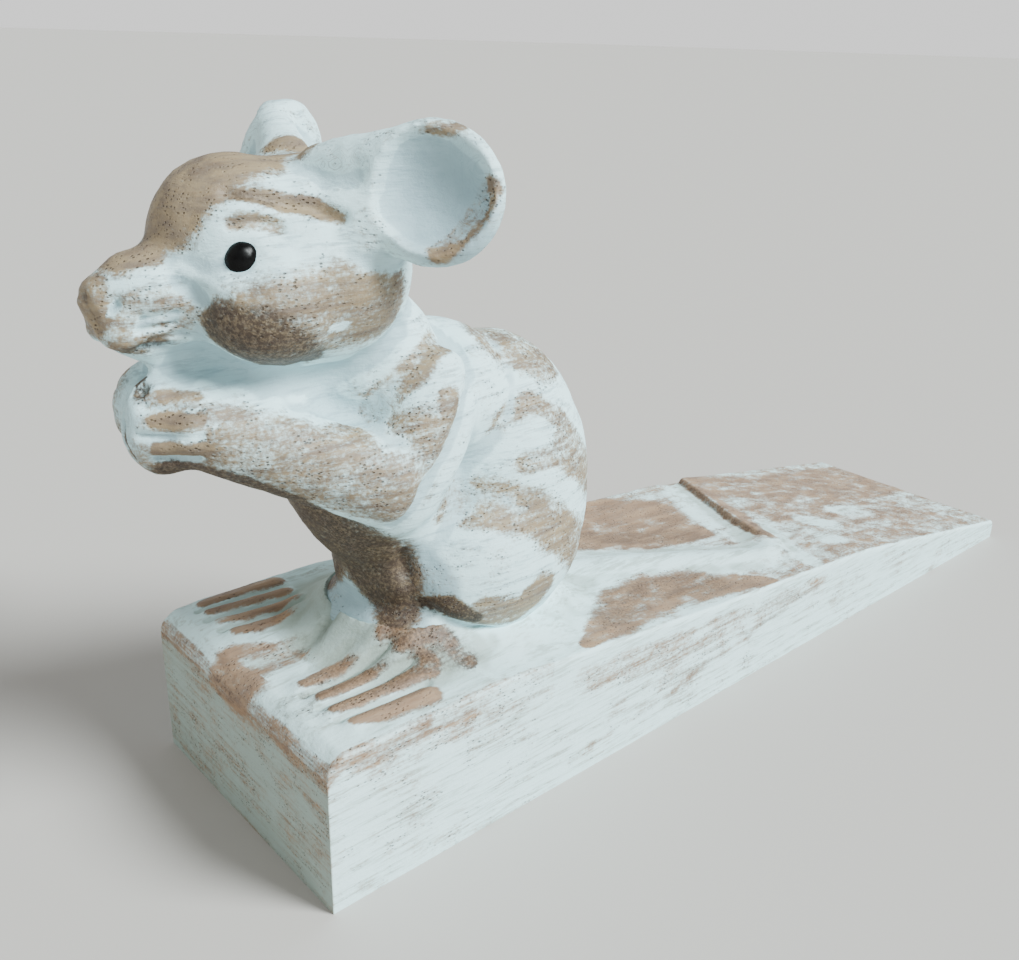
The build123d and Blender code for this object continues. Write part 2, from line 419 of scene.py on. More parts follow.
# %% Brows and eye sockets
brow_cut = [(1.3, -7.5, 102.8), (7.3, -9.6, 101.6), (11.3, -11.2, 100.9), (13.6, -13.7, 99.5)]
lid_cut = [(0.6, -9.6, 99.4), (3.4, -10.3, 99.6), (6.1, -11.1, 98.8)]
tear_ridge = [(-5.2, -6.0, 93.4), (-3.0, -8.9, 91.9), (-1.0, -12.2, 90.8)]
tear_hollow = [(-5.6, -6.3, 91.8), (-3.8, -8.6, 90.3)]
eye_x, eye_y, eye_z = eye_spot = (1.0, -11.2, 94.7)
rim_half_length, rim_half_height, rim_lean = 3.3, 3.1, 0.6
eye_rim = []
for turn in range(17):
    angle = turn * pi / 8
    eye_rim.append((
        eye_x + rim_half_length * cos(angle), eye_y - rim_lean * cos(angle),
        eye_z + rim_half_height * sin(angle),
    ))
carve(mouse, both(brow_cut), width=1.0, depth=0.9)
carve(mouse, both(lid_cut), width=0.9, depth=0.85)
carve(mouse, both(tear_ridge), width=0.8, depth=-0.4)
carve(mouse, both(tear_hollow), width=1.2, depth=0.6)
carve(mouse, both([eye_spot]), width=2.9, depth=0.9)
carve(mouse, both(eye_rim), width=0.8, depth=-0.3)

# %% [markdown]
# ## Fingers
# Three cuts across each rounded paw turn it into four fingers. Separate fingers would look too
# fine for a knife.

# %% Fingers
fingers = [
    [(-11.6, -5.4, 76.5), (-8.8, -7.9, 76.4), (-5.6, -9.2, 76.1)],
    [(-12.4, -5.6, 72.8), (-9.4, -8.2, 72.6), (-6.2, -9.7, 72.5)],
    [(-11.4, -5.8, 69.3), (-6.2, -9.0, 69.2)],
]
carve(mouse, both(*fingers), width=0.6, depth=0.9)

# %% [markdown]
# ## The hand in the wood
# A knife and coarse paper never leave a true curve. Noise in a shader wouldn't change the outline,
# so two Displace modifiers do it: slow waves for the knife, then a small unevenness.


# %% Hand-made waves
def waver(piece, size, height):
    clouds = bpy.data.textures.new("waver", "CLOUDS")
    clouds.noise_scale = size * MM
    modify(piece, "DISPLACE", texture=clouds, strength=height * MM, mid_level=0.5)


waver(mouse, size=11.0, height=0.9)
waver(mouse, size=2.2, height=0.22)
pick(mouse)
bpy.ops.object.shade_smooth()
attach(mouse, "root")
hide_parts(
    "torso", "haunch_left", "haunch_right", "arm_left", "arm_right", "head", "ear_left", "ear_right"
)
print("mouse carved", len(mouse.data.vertices), "points")

# %% [markdown]
# ## The wedge, sawn
# The wedge is sawn from the block before its top is worked by hand. A scaled cube has too few
# points to work on, so a fine grid is pulled up into a block, closed below and sliced into rows.
# Every point of the top can then be set to its own height.

# %% Sawn block
wall_rows = 20
bpy.ops.object.select_all(action="DESELECT")
bpy.ops.mesh.primitive_grid_add(
    x_subdivisions=360, y_subdivisions=104, size=MM, location=at(wedge_length / 2, 0, 0)
)
wedge = bpy.context.object
wedge.name = "wedge_block"
wedge.scale = (wedge_length, wedge_width, 1)
settle(wedge)
bpy.ops.object.mode_set(mode="EDIT")
bpy.ops.mesh.select_all(action="SELECT")
bpy.ops.mesh.extrude_region_move(TRANSFORM_OT_translate={"value": (0, 0, crest_height * MM)})
bpy.ops.mesh.select_mode(type="EDGE")
bpy.ops.mesh.select_all(action="DESELECT")
bpy.ops.mesh.select_non_manifold()
bpy.ops.mesh.edge_face_add()
for row in range(1, wall_rows):
    bpy.ops.mesh.select_all(action="SELECT")
    bpy.ops.mesh.bisect(plane_co=at(0, 0, crest_height * row / wall_rows), plane_no=(0, 0, 1))
bpy.ops.mesh.select_all(action="SELECT")
bpy.ops.mesh.normals_make_consistent(inside=False)
bpy.ops.object.mode_set(mode="OBJECT")
print("sawn block", len(wedge.data.vertices), "points")

# %% [markdown]
# ## Closer points along the rims
# The rims are worn round over less than a millimetre. A finer grid everywhere would be heavy, so
# the same rows are moved closer to the rims, where the rounding needs them. `shares` keeps how high
# each point stands in the block, from 0 below to 1 on top.

# %% Closer points along the rims
crowd_along, crowd_across = 0.25, 0.3
spots = places(wedge)
along = spots[:, 0] / wedge_length * 2 - 1
across = spots[:, 1] / wedge_width * 2
spots[:, 0] = (along * (1 + crowd_along * (1 - along ** 2)) + 1) * wedge_length / 2
spots[:, 1] = across * (1 + crowd_across * (1 - across ** 2)) * wedge_width / 2
shares = spots[:, 2] / crest_height
on_front = spots[:, 0] < 0.01
flat = spots[:, :2]
x, y = flat.T
print(int(on_front.sum()), "points on the thick end")

# %% [markdown]
# ## The slope of the top
# The top is level under the mouse and slopes down to a ramp that slides under a door. `top` holds
# its height above every point, and each step from here adds to it or takes from it. The front rim
# is rounded off more than the others, by hands and knocks.

# %% Slope of the top
level_length, ramp_start, ramp_height, tip_height = 31.5, 144.0, 16.4, 4.8
front_round_depth, front_round_length = 2.1, 3.4
top = np.interp(
    x, [0, level_length, ramp_start, wedge_length], [crest_height, crest_height, ramp_height, tip_height]
)
top -= front_round_depth * np.clip(1 - x / front_round_length, 0, 1) ** 1.5
print(f"slope from {top.max():.1f} to {top.min():.1f} mm")

# %% [markdown]
# ## Toes and gouge run
# Each foot is four long toes with cuts between them, and a shallow run was gouged out between the
# feet. They are a low relief, so no foot has to be joined on: lines seen from above are enough, and
# each lifts or lowers the top beside it.

# %% Toes and gouge run
near_toes = [
    [(7.8, -8.3), (21.3, -8.9)], [(8.2, -12.9), (24, -13.2)],
    [(8, -17), (25, -17.6)], [(8.6, -21.4), (21, -22.2)],
]
near_cuts = [[(6.4, -10.6), (22, -10.9)], [(6.6, -15.1), (23.5, -15.2)], [(7.2, -19.3), (23, -19.9)]]
far_toes = [
    [(7.2, 24.2), (21, 24)], [(6.9, 20.9), (20.4, 19.6)],
    [(6.8, 16.9), (20, 15)], [(7.5, 12.7), (18, 11.7)],
]
far_cuts = [[(5.6, 22.8), (21.2, 21.8)], [(5.5, 19), (21.5, 17.4)], [(5.8, 14.8), (20.6, 13.2)]]
toe_lift, toe_half, toe_cut_depth, toe_cut_half = 0.75, 1.9, 0.75, 0.75
for toes, cuts in ((near_toes, near_cuts), (far_toes, far_cuts)):
    for toe in toes:
        top += toe_lift * bump(from_line(flat, toe), toe_half)
    for cut in cuts:
        top -= toe_cut_depth * bump(from_line(flat, cut), toe_cut_half)

gouge_run = [(0, 4.5), (3, 4), (8, 3.2), (14, 2.4), (21, 1.6)]
gouge_width, gouge_taper, gouge_depth, gouge_end = 7.0, 24.0, 1.2, 30
gouge_half = gouge_width * np.clip(1 - x / gouge_taper, 0.12, 1)
top -= gouge_depth * bump(from_line(flat, gouge_run), gouge_half) * (x < gouge_end)
print(len(near_toes + far_toes), "toes and", len(near_cuts + far_cuts), "cuts")

# %% [markdown]
# ## Tail
# The tail runs from the rump down the slope and curls across the ramp. It stands up only because
# the ground beside it was scooped away, so it is a low lift along a line, with an oval scoop on
# each side. The lift fades at both ends.

# %% Tail
tail = [
    (68, 2), (80, -2.2), (90, -5), (100, -9), (110, -13.6), (117, -16.4), (122.5, -15.4),
    (126.5, -10), (129.5, -3), (133, 6), (137, 16), (142, 27),
]
tail_distance, tail_share = along_line(flat, tail)
tail_half = np.interp(x, [72, 140], [4.6, 3.0])
tail_lift = np.interp(tail_share, [0, 0.05, 0.5, 0.75, 1], [0.4, 1.5, 1.5, 0.7, 0.3])
top += tail_lift * bump(tail_distance, tail_half)
scoop_depth = 1.0
for (scoop_x, scoop_y), (half_length, half_width) in (((86, -19), (20, 7.5)), ((104, 10), (17, 15))):
    top -= scoop_depth * bump(np.hypot((x - scoop_x) / half_length, (y - scoop_y) / half_width), 1.0)
print(f"top after the scoops {top.min():.1f} to {top.max():.1f} mm")

# %% [markdown]
# ## Deep cut inside the curl
# Inside the curl the knife stood upright and left a steep wall at the tail's foot, with a long
# slope up to it. A bump is the same on both sides, so this cut has two slopes instead.

# %% Deep cut inside the curl
curl_foot = [(126.5, -8.5), (129.5, 1.5), (133.5, 10), (137.5, 19), (141, 27)]
curl_depth, curl_start, curl_fade = 1.15, -11, 6
slope_reach, wall_reach = 9.0, 0.9
past_foot = x - np.interp(y, [foot[1] for foot in curl_foot], [foot[0] for foot in curl_foot])
slope_side = np.clip(1 + past_foot / slope_reach, 0, 1)
wall_side = np.clip(1 - past_foot / wall_reach, 0, 1)
cut_depth = curl_depth * np.clip((y - curl_start) / curl_fade, 0, 1)
top -= cut_depth * np.where(past_foot < 0, slope_side, wall_side)
print(f"deepest cut in the curl {cut_depth.max():.2f} mm")

# %% [markdown]
# ## Ground swept up to the mouse
# Mouse and wedge are one piece of wood, so the ground rises in a hollow curve to meet the body. A
# Boolean union would leave a hard line. Here each point of the top asks how near the mouse's skin
# is, and the closer it is, the more it is raised, most of all under the belly.

# %% Ground swept up to the mouse
sweep_reach, sweep_power = 10.0, 2.4
sweep_start, sweep_end = 12, 95
sweep_height = np.interp(x, [30, 42], [5.4, 3.4])
sweep = np.zeros(len(spots))
mouse_tree = bvhtree.BVHTree.FromObject(mouse, bpy.context.evaluated_depsgraph_get())
for index in np.flatnonzero((x > sweep_start) & (x < sweep_end)):
    nearest = mouse_tree.find_nearest(at(x[index], y[index], top[index]), sweep_reach * MM)
    if nearest[0] is not None:
        sweep[index] = 1 - nearest[3] / MM / sweep_reach
top += sweep_height * sweep ** sweep_power
print(int((sweep > 0).sum()), "points near the mouse")

# %% [markdown]
# ## Worn rims
# Sandpaper takes every sharp rim down to a small round. A Bevel needs clean edges, and this top
# has none, so the height is lowered along a quarter circle close to each rim. After the same waves
# as on the mouse, the underside and the sides are set true again, because a wedge has to lie flat.


# %% Worn rims
def put_back(piece, spots):
    piece.data.vertices.foreach_set("co", ((spots + block_corner) * MM).ravel())
    piece.data.update()


rim_wear = 0.7
for gap in (x, wedge_length - x, wedge_width / 2 - np.abs(y)):
    inside = np.clip(rim_wear - gap, 0, rim_wear)
    top -= rim_wear - np.sqrt(rim_wear ** 2 - inside ** 2)
spots[:, 2] = shares * top
put_back(wedge, spots)
waver(wedge, size=9.0, height=0.35)
waver(wedge, size=2.0, height=0.12)

spots = places(wedge)
spots[:, 2] = np.where(shares <= 0, 0.0, np.maximum(spots[:, 2], 0.0))
spots[:, 0] = np.clip(spots[:, 0], 0, wedge_length)
spots[:, 1] = np.clip(spots[:, 1], -wedge_width / 2, wedge_width / 2)
put_back(wedge, spots)
pick(wedge)
bpy.ops.object.shade_smooth_by_angle(angle=radians(50))
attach(wedge, "root")
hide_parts("wedge", "tail", "foot_left", "foot_right")
print("wedge", len(wedge.data.vertices), "points")

# %% [markdown]
# ## Where the sandpaper went
# The maker brushes limewash over everything, then sands the high and handled places back to the
# wood. Masks painted by hand could not be made again, so strokes with a line, a width and an amount
# set four values on the points, as Weight Paint does. `sanded` is how far the wash is rubbed away.
# The second value darkens the wood, partly as real stain and partly as painted shade in cuts,
# creases and under forms, and the third darkens the wash as painted shade. `hollow`, found from
# the mesh itself, is high where the surface turns inwards and the sandpaper can't reach; it also
# darkens the wash there, as painted shade.


# %% Strokes
def paint(piece, name, values):
    layer = piece.data.attributes.new(name, "FLOAT", "POINT")
    layer.data.foreach_set("value", np.clip(values, 0, 1).astype(np.float32))
    print(f"{piece.name}: {name} is {float(np.mean(values)):.2f} on average")


def strokes(spots, marks):
    """The strongest of the marks at each spot: a line, its half width or widths, and its amount."""
    values = np.zeros(len(spots))
    for line, half_width, amount in marks:
        distance, share = along_line(spots, line)
        if isinstance(half_width, tuple):
            half_width = np.interp(share, np.linspace(0, 1, len(half_width)), half_width)
        edge = np.clip((1.35 - distance / half_width) / 0.7, 0, 1)
        values = np.maximum(values, amount * edge * edge * (3 - 2 * edge))
    return values


# %% Hollows
def hollows(piece, passes=3):
    """How far in mm the skin lies below its own smoothed copy, along the normals."""
    mesh = piece.data
    ends = np.empty(len(mesh.edges) * 2, dtype=np.int64)
    mesh.edges.foreach_get("vertices", ends)
    first, second = ends.reshape(-1, 2).T
    count = np.bincount(ends, minlength=len(mesh.vertices))[:, None]
    spots = places(piece)
    normals = np.empty(len(spots) * 3)
    mesh.vertices.foreach_get("normal", normals)

    def blur(values):
        total = np.zeros_like(values)
        np.add.at(total, first, values[second])
        np.add.at(total, second, values[first])
        return total / count

    smoothed = spots
    for _ in range(passes * 2):
        smoothed = blur(smoothed)
    lift = ((smoothed - spots) * normals.reshape(-1, 3)).sum(axis=1)[:, None]
    for _ in range(passes):
        lift = blur(lift)
    return lift[:, 0]


# Besides keeping wash in hollows, this value darkens the wash there, as painted shade.
full_hollow = 0.05
wedge_dips = hollows(wedge)
paint(wedge, "hollow", np.clip(wedge_dips / full_hollow, 0, 1))

# %% [markdown]
# ## Rubbed places on the wedge's top
# The gouge run, the front rim, the toes, the ground beside the tail and most of the ramp are rubbed
# back to the wood. Each is a stroke seen from above, with half widths along its way, because a hand
# presses harder in the middle. Between the strokes some wash is off too, more of it near the tip.

# %% Rubbed places on the top
on_top = shares > 0.93
flat = spots[:, :2]
x, y = flat.T
top_marks = [
    ([(0.5, 3), (4, 4.5), (12, 2.4), (22, 2.5)], (8.5, 6.0, 3.4, 1.4), 0.92),
    ([(0.2, 26), (0.2, -26)], 0.9, 0.70),
    ([(0, -26.8), (18, -26.8)], 1.0, 0.66),
    ([(18, -26.8), (44, -26.8)], 0.8, 0.45),
    (
        [(54, -25), (62, -22), (72, -18), (84, -16), (96, -19), (108, -25)],
        (1.6, 4.5, 7.0, 7.5, 6.6, 2.0), 0.92,
    ),
    ([(64, 24), (84, 18), (98, 8), (116, 1)], (11.0, 11.5, 11.0, 5.0), 0.95),
    ([(100, 22), (114, 14)], 11.0, 0.95),
    ([(127, -13), (131.5, -3), (136, 6), (142, 17), (148, 27)], (1.6, 2.6, 3.2, 4.0, 5.0), 0.85),
    ([(144, 20), (164, 10), (204, 10)], (9.0, 15.0, 15.0), 0.82),
    ([(138, 0), (164, -6), (190, -12)], (7.0, 10.0, 10.0), 0.74),
    ([(132, -20), (152, -22), (196, -22)], (3.0, 5.0, 5.0), 0.72),
    # Bare wood along the foot of the curl's wall, partly a painted shadow line.
    (curl_foot, 1.0, 1.0),
]
top_marks += [(toe, (1.2, 3.0, 3.0, 3.0), 0.95) for toe in near_toes]
top_marks += [(toe, (1.4, 2.6, 2.6, 2.0), 0.92) for toe in far_toes]
rubbed = strokes(flat, top_marks)
print(len(top_marks), "rubbed strokes on the top")

# %% [markdown]
# ## Wash that stays on the top
# Wash stays in the toe cuts, on the upper tail, in a few islands on the ramp and in the swept-up
# corner round the mouse. A thin white line kept along the near top rim, from x 45 to the tip, is a
# painted highlight. Gaps between the rubbed strokes would need many small strokes, so the kept wash
# has its own strokes that cancel the rubbing. Only the near foot's heel is rubbed again.

# %% Wash that stays on the top
kept_marks = [
    (tail[:7], (5.0, 3.2, 2.6, 2.2), 1.0),
    ([(121, -15), (127, -15), (125, -24)], 2.4, 0.9),
    ([(120, -3), (126, 8), (131, 20)], (1.6, 3.0, 3.4), 0.50),
    ([(148, -8), (151, -12)], 3.5, 0.55),
    ([(166, -6), (172, -8)], 4.0, 0.5),
    ([(140, -18), (143, -19)], 2.6, 0.5),
    # Painted highlight: a thin white line along the near top rim.
    ([(45, -27), (210, -27)], 0.5, 0.9),
]
kept_marks += [(cut, (0.3, 0.5, 0.3), 1.0) for cut in near_cuts + far_cuts]
kept = np.maximum(strokes(flat, kept_marks), np.clip(sweep * 2.2 - 0.6, 0, 1))
level_rub, ramp_rub = 0.20, 0.40
on_ramp = np.clip((x - 60) / 60, 0, 1)
top_rub = np.maximum(rubbed, level_rub + ramp_rub * on_ramp) * (1 - kept)
heel = strokes(flat, [([(23, -10), (27, -14), (31, -19)], (2.6, 5.0, 3.0), 0.80)])
top_rub = np.maximum(top_rub, heel)
print(f"the top is rubbed {float(top_rub[on_top].mean()):.2f} on average")

# %% [markdown]
# ## Walls and thick end
# The sawn walls are rubbed lightly and evenly, with more wood along the top rim and along one long
# grain line. Strokes seen from above can't reach them, so these are laid out on the wall itself, by
# length and height. The wash on the thick end is thin, so it starts from a higher value.

# %% Walls and thick end
wall_base, front_base = 0.27, 0.38
wall, front = spots[:, [0, 2]], spots[:, [1, 2]]
grain_line = [(49, 3.2), (62, 5.8), (75, 6.6), (88, 9.4), (100, 10.4), (112, 12.8), (124, 13.7)]
wall_marks = [
    ([(2, 25.2), (16, 25.0), (30, 24.8)], (1.2, 1.8, 0.8), 0.74),
    ([(30, 25.0), (50, 23.2)], (1.0, 0.4), 0.5),
    ([(8, 22.8), (44, 21.2)], (2.2, 1.2), 0.46),
    ([(52, 20), (84, 16.5), (126, 14.5)], (3.4, 6.0, 1.4), 0.50),
    ([(60, 9), (104, 13)], (2.0, 3.0), 0.40),
    (grain_line, 0.9, 0.55),
]
front_marks = [([(26, 24), (-26, 24)], (1.5, 4.0, 2.5), 0.56)]
wall_rub = np.maximum(wall_base, strokes(wall, wall_marks))
front_rub = np.maximum(front_base, strokes(front, front_marks))
side_rub = np.where(on_front, front_rub, wall_rub)
paint(wedge, "sanded", np.where(on_top, top_rub, side_rub))

# %% [markdown]
# ## Dark wood and painted shade on the wedge
# The wood is darker between the toes, behind the heel, in the gouge run, beside the tail and in the
# curl: partly stain and partly painted shade next to the mouse, with a painted shadow along the
# foot of the steep wall in the curl and on the tail's turn. A grain line on the wall is real dark
# wood. The wash is darkened as painted shade on the thick end, which faces away from the light,
# and near the feet under the mouse. Both are separate values, because dark wood and shaded wash
# are not always in the same place.

# %% Dark wood and painted shade on the wedge
# Stain and painted shade in the wood: the curl's wall foot and the tail's turn are a painted shadow.
top_stain_and_shade = strokes(flat, [
    ([(8, -13), (26, -15)], 7.0, 0.5),
    ([(20, -13), (31, -18)], 4.5, 0.7),
    (curl_foot, 1.0, 0.5),
    ([(66, -18), (78, -14), (96, -18)], 5.0, 0.45),
    ([(2, 3), (12, 3)], 4.0, 0.25),
    ([(14, 2.4), (22, 2.5)], 2.6, 0.5),
    ([(6.5, -10.7)], 1.0, 1.0),
    ([(92, 10), (112, 1)], 4.0, 0.4),
    ([(124, -18), (131, -4)], 1.2, 0.5),
])
wall_stain = strokes(wall, [(grain_line, 0.8, 0.34)]) * ~on_front
paint(wedge, "stain_and_shade", np.where(on_top, top_stain_and_shade, wall_stain))
# Painted shade on the wash: the thick end and the ground near the feet, under the mouse.
front_painted_shade = 0.95 * (on_front & (shares < 0.97))
near_feet = np.clip(sweep * 1.7 + 0.3, 0, 1) * np.clip((42 - x) / 14, 0, 1)
paint(wedge, "painted_shade", np.maximum(front_painted_shade, 0.9 * near_feet * on_top))

# %% [markdown]
# ## Lines on the mouse
# The same strokes go on the mouse, but in space: each is a line at the skin that marks the points
# near it. The lines have names, because rubbing and dark wood share them.

# %% Lines on the mouse
cheek = [(-1, -12.5, 87.5), (6, -14.5, 86.5), (14, -15, 87.5), (20, -13.5, 87)]
cheek_shade = [(-2.4, -11.4, 86.4), (1, -13.8, 85), (4.5, -13.6, 82.5), (8, -11.8, 80.2)]
forehead = [(-9.5, 0, 95), (-7.5, -0.5, 98), (-4, -1, 101), (3, -1, 106), (12, 0, 108), (20, -1, 107)]
ear_rim = [(23.7, -22.1, 95.7), (27.9, -23.1, 98.7), (30, -24.2, 103.2)]
ear_top = [(20.5, -17.5, 106), (23, -19, 110), (28, -20.5, 111)]
forearm = [(-6, -9, 73), (3, -13, 69), (12, -16, 64), (18, -18, 60)]
under_arm = [(-9, -5.5, 67.5), (-2, -9, 65), (6, -11, 60.5), (15, -10, 54.5)]
upper_arm = [(14, -15, 68), (24, -17.5, 67), (22, -18.5, 61)]
arm_front = [(33, -10, 79), (26.4, -13, 76.6), (20, -10.5, 71)]
arm_back = [(29.6, -17, 72.4), (29.8, -17.8, 68.3), (25.7, -18, 64)]
belly = [(12, -3, 52), (18, -6, 46), (23, -8, 41), (25, -9, 36)]
thigh = [(34.3, -11.5, 53), (41, -14.8, 51.5), (48, -17, 49), (55, -17.3, 43)]
thigh_front = [(28.9, -10.9, 36.5), (31, -14.5, 36), (36, -16.4, 33)]
thigh_foot = [(37, -17.4, 34), (44, -17.8, 32), (49, -18, 35)]
back_ring = [
    (41.5, -13.5, 62), (44, -12.4, 65.5), (50, -11.5, 66.5),
    (57, -12.5, 62), (55, -14.5, 57), (47, -15.4, 57.5),
]
print("the forehead's stroke has", len(forehead), "points")

# %% [markdown]
# ## Rubbed places on the mouse
# Forehead, nose, cheeks, arms, belly, thighs and the rims of the ears stand out most, so the paper
# bares them first. Every stroke is laid on both sides. The slit and the hole between the paws are
# bare too, because the brush never got into them.


# %% Rubbed places on the mouse
def both_sides(marks):
    return [(mirrored, width, amount) for line, width, amount in marks for mirrored in both(line)]


head_marks = [
    (forehead, (4.5, 6.5, 7.4, 7.4, 6.6, 4.0), 1.0), (cheek, (5.0, 7.4, 7.8, 6.4), 0.80),
    (cheek_shade, 4.5, 0.9), (ear_rim, 2.1, 0.9), (ear_top, 1.4, 0.75),
    (brow_cut, (0.7, 1.6, 1.6, 1.1), 1.0), (lid_cut, 1.3, 0.8),
    ([(28, -5, 108), (24, -15, 110)], 2.0, 0.4),
    ([(-5.3, -6.5, 92), (-4.4, -7.5, 91.3)], 1.6, 0.65),
    ([(-15.5, -1, 91.5), (-14.5, -1, 87.5)], 3.0, 0.85),
    ([(-13, -3.5, 84), (-9, -4.5, 84.4)], 2.0, 0.8),
    ([(-12.5, -4.5, 88), (-7, -6.5, 89)], 3.4, 0.62),
    ([(-9.5, -5, 85.8), (-5.5, -6.5, 86)], 1.6, 0.6),
]
paw_marks = [
    ([paw_hole], 1.4, 1.0), (paw_slit, 0.7, 0.9), ([(-9, 6, 75), (-10, 5, 69)], 4.0, 0.6),
    ([(-9, -6, 78), (-5, -7.5, 77.6)], 1.3, 0.85),
    ([(-10.5, -6.5, 74.6), (-6, -9, 74.4)], 1.5, 1.0),
    ([(-10.5, -6.5, 71), (-5.5, -9.5, 70.8)], 1.5, 1.0),
]
body_marks = [
    (forearm, (4.4, 6.2, 6.6, 4.6), 0.72), (under_arm, 2.6, 0.9), (upper_arm, 6.0, 0.70),
    (arm_front, 2.6, 0.78), (arm_back, 2.4, 0.76), (belly, (9.5, 9.5, 8.0, 5.0), 0.9),
    (thigh, 4.8, 0.80), (thigh_front, (1.2, 2.6, 1.6), 1.0), (thigh_foot, 3.6, 0.82),
    (back_ring, 2.2, 0.70), ([(48, -4, 76), (56, -6, 72)], 6.5, 0.72),
    ([(57, -14, 58), (64, -10, 50)], 5.0, 0.70), ([(56, -16, 42), (62, -12, 36)], 5.5, 0.70),
]
kept_marks = [
    (nostril[1:], 0.4, 0.8), (fingers[0], 0.6, 1.0), (fingers[1], 0.6, 1.0), (fingers[2], 0.5, 0.9),
    (whiskers[0], 0.5, 1.0), (whiskers[1], 0.5, 1.0), ([(11.5, -15, 85.3), (13.6, -14.6, 85.3)], 0.7, 1.0),
    (tear_ridge, 0.8, 0.9),
]
mouse_base = 0.26
spots = places(mouse)
kept = strokes(spots, both_sides(kept_marks))
mouse_rub = np.maximum(strokes(spots, both_sides(head_marks + paw_marks + body_marks)), mouse_base)
paint(mouse, "sanded", mouse_rub * (1 - kept))

# %% [markdown]
# ## Painted shade and dark wood on the mouse
# The wood is darkest on the undersides of cheeks and arms, on the belly and the thigh's front
# edge, and in the creases, cuts, slit and hole: this is painted shade, with a little darker tone
# on the forearm and cheek. The wash is darkened as painted shade inside the ears, beside and under
# the belly, on the paws, beside the muzzle and in the jaw crease. In the brows, the belly and the
# slit the wood shows although they turn inwards, so `hollow` is cleared there.

# %% Painted shade and dark wood on the mouse
# Mostly painted shade in the wood: undersides, creases, cuts, slit and hole. The forearm and cheek strokes
# add a little darker tone.
stain_and_shade_marks = [
    (cheek_shade, (4.0, 5.4, 5.4, 4.4), 0.84), (belly, (9.0, 9.0, 7.5, 4.5), 0.82),
    (thigh_front, (1.0, 2.4, 1.2), 1.0), (under_arm, 2.6, 0.85), (forearm, 4.5, 0.3),
    (cheek, 6.0, 0.32), (mouth, 1.6, 0.7), (brow_cut, 0.8, 0.55), (haunch_crease[:4], 0.9, 0.9),
    ([(-5, -9, 85.5), (0, -12.5, 86.5)], 2.2, 0.4), (nostril, 0.5, 0.4),
    ([paw_hole], 1.5, 1.0), (paw_slit, 0.8, 1.0),
]
# Painted shade on the wash: ear cups, beside and under the belly, paws, jaw crease and muzzle side.
painted_shade_marks = [
    ([(23, -22, 104), (25, -22, 100)], 7.5, 0.85), ([(27, -12, 44), (30, -13.5, 39)], 4.0, 0.9),
    ([(24, 0, 32), (24, -9, 31)], 7.0, 0.9), ([(-10, -6, 78), (-11, -3, 70)], 5.0, 0.45),
    (jaw_crease, 2.0, 0.4), ([(-6, -6.5, 88), (-2, -8, 96)], 3.0, 0.35),
]
bare_dips = [
    (brow_cut, 2.4, 1.0), (lid_cut, 1.8, 1.0), (belly, 9.0, 0.7),
    (paw_slit, 1.5, 1.0), ([paw_hole], 2.5, 1.0),
]
paint(mouse, "stain_and_shade", strokes(spots, both_sides(stain_and_shade_marks)))
paint(mouse, "painted_shade", strokes(spots, both_sides(painted_shade_marks)))
mouse_dips = np.clip(hollows(mouse) / full_hollow, 0, 1)
paint(mouse, "hollow", mouse_dips * (1 - strokes(spots, both_sides(bare_dips))))

# %% [markdown]
# ## Eyes
# Each eye is a drop of black lacquer on a small round peg. A flattened ball set into the socket
# gives the drop, and a slight waver keeps its edge from being a perfect circle. Each takes its
# place from the CAD eye, moved a little to sit inside the carved rim.

# %% Eyes
eye_radius, eye_shape = 2.7, (1.0, 0.8, 1.06)
eye_shift = Vector((0.8, 0, -0.6)) * MM
lacquer = bpy.data.materials.new("eye_lacquer")
for node_name in ("eye_left", "eye_right"):
    low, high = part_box(node_name)
    middle = (Vector(low) + Vector(high)) / 2 + eye_shift
    bpy.ops.object.select_all(action="DESELECT")
    bpy.ops.mesh.primitive_uv_sphere_add(
        segments=48, ring_count=28, radius=eye_radius * MM, location=middle
    )
    eye = bpy.context.object
    eye.name = node_name + "_lacquer"
    eye.scale = eye_shape
    settle(eye)
    waver(eye, size=1.8, height=0.2)
    pick(eye)
    bpy.ops.object.shade_smooth()
    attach(eye, "root")
    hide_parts(node_name)
    eye.data.materials.append(lacquer)
    print(eye.name, "at", middle)

# %% [markdown]
# ## Shader helpers
# A shader is a chain of small nodes. They could be placed by hand in the editor, but this finish
# repeats the same few steps, so each step is a helper: make a node, add, multiply, stretch, blend.


# %% Making and adding
def add(tree, kind, sockets=None, **settings):
    made = tree.nodes.new("ShaderNode" + kind)
    for setting, value in settings.items():
        setattr(made, setting, value)
    for socket, value in (sockets or {}).items():
        if isinstance(value, bpy.types.NodeSocket):
            tree.links.new(value, made.inputs[socket])
        else:
            made.inputs[socket].default_value = value
    return made


def times(tree, first, second):
    return add(tree, "Math", {0: first, 1: second}, operation="MULTIPLY").outputs[0]


def minus(tree, first, second):
    return add(tree, "Math", {0: first, 1: second}, operation="SUBTRACT").outputs[0]


def sum_of(tree, first, second, factor=1.0):
    scaled = times(tree, second, factor)
    return add(tree, "Math", {0: first, 1: scaled}, operation="ADD").outputs[0]


# %% Ramps, blends and noise
def ramp(tree, value, low, high, to_low=0.0, to_high=1.0):
    limits = {"From Min": low, "From Max": high, "To Min": to_low, "To Max": to_high}
    made = add(tree, "MapRange", {"Value": value, **limits}, interpolation_type="SMOOTHSTEP")
    return made.outputs["Result"]


def blend_colours(tree, share, first, second):
    return add(tree, "Mix", {0: share, 6: first, 7: second}, data_type="RGBA").outputs[2]


def stretched(tree, place, factors):
    return add(tree, "VectorMath", {0: place, 1: factors}, operation="MULTIPLY").outputs[0]


def painted(tree, name):
    return add(tree, "Attribute", attribute_name=name).outputs["Fac"]


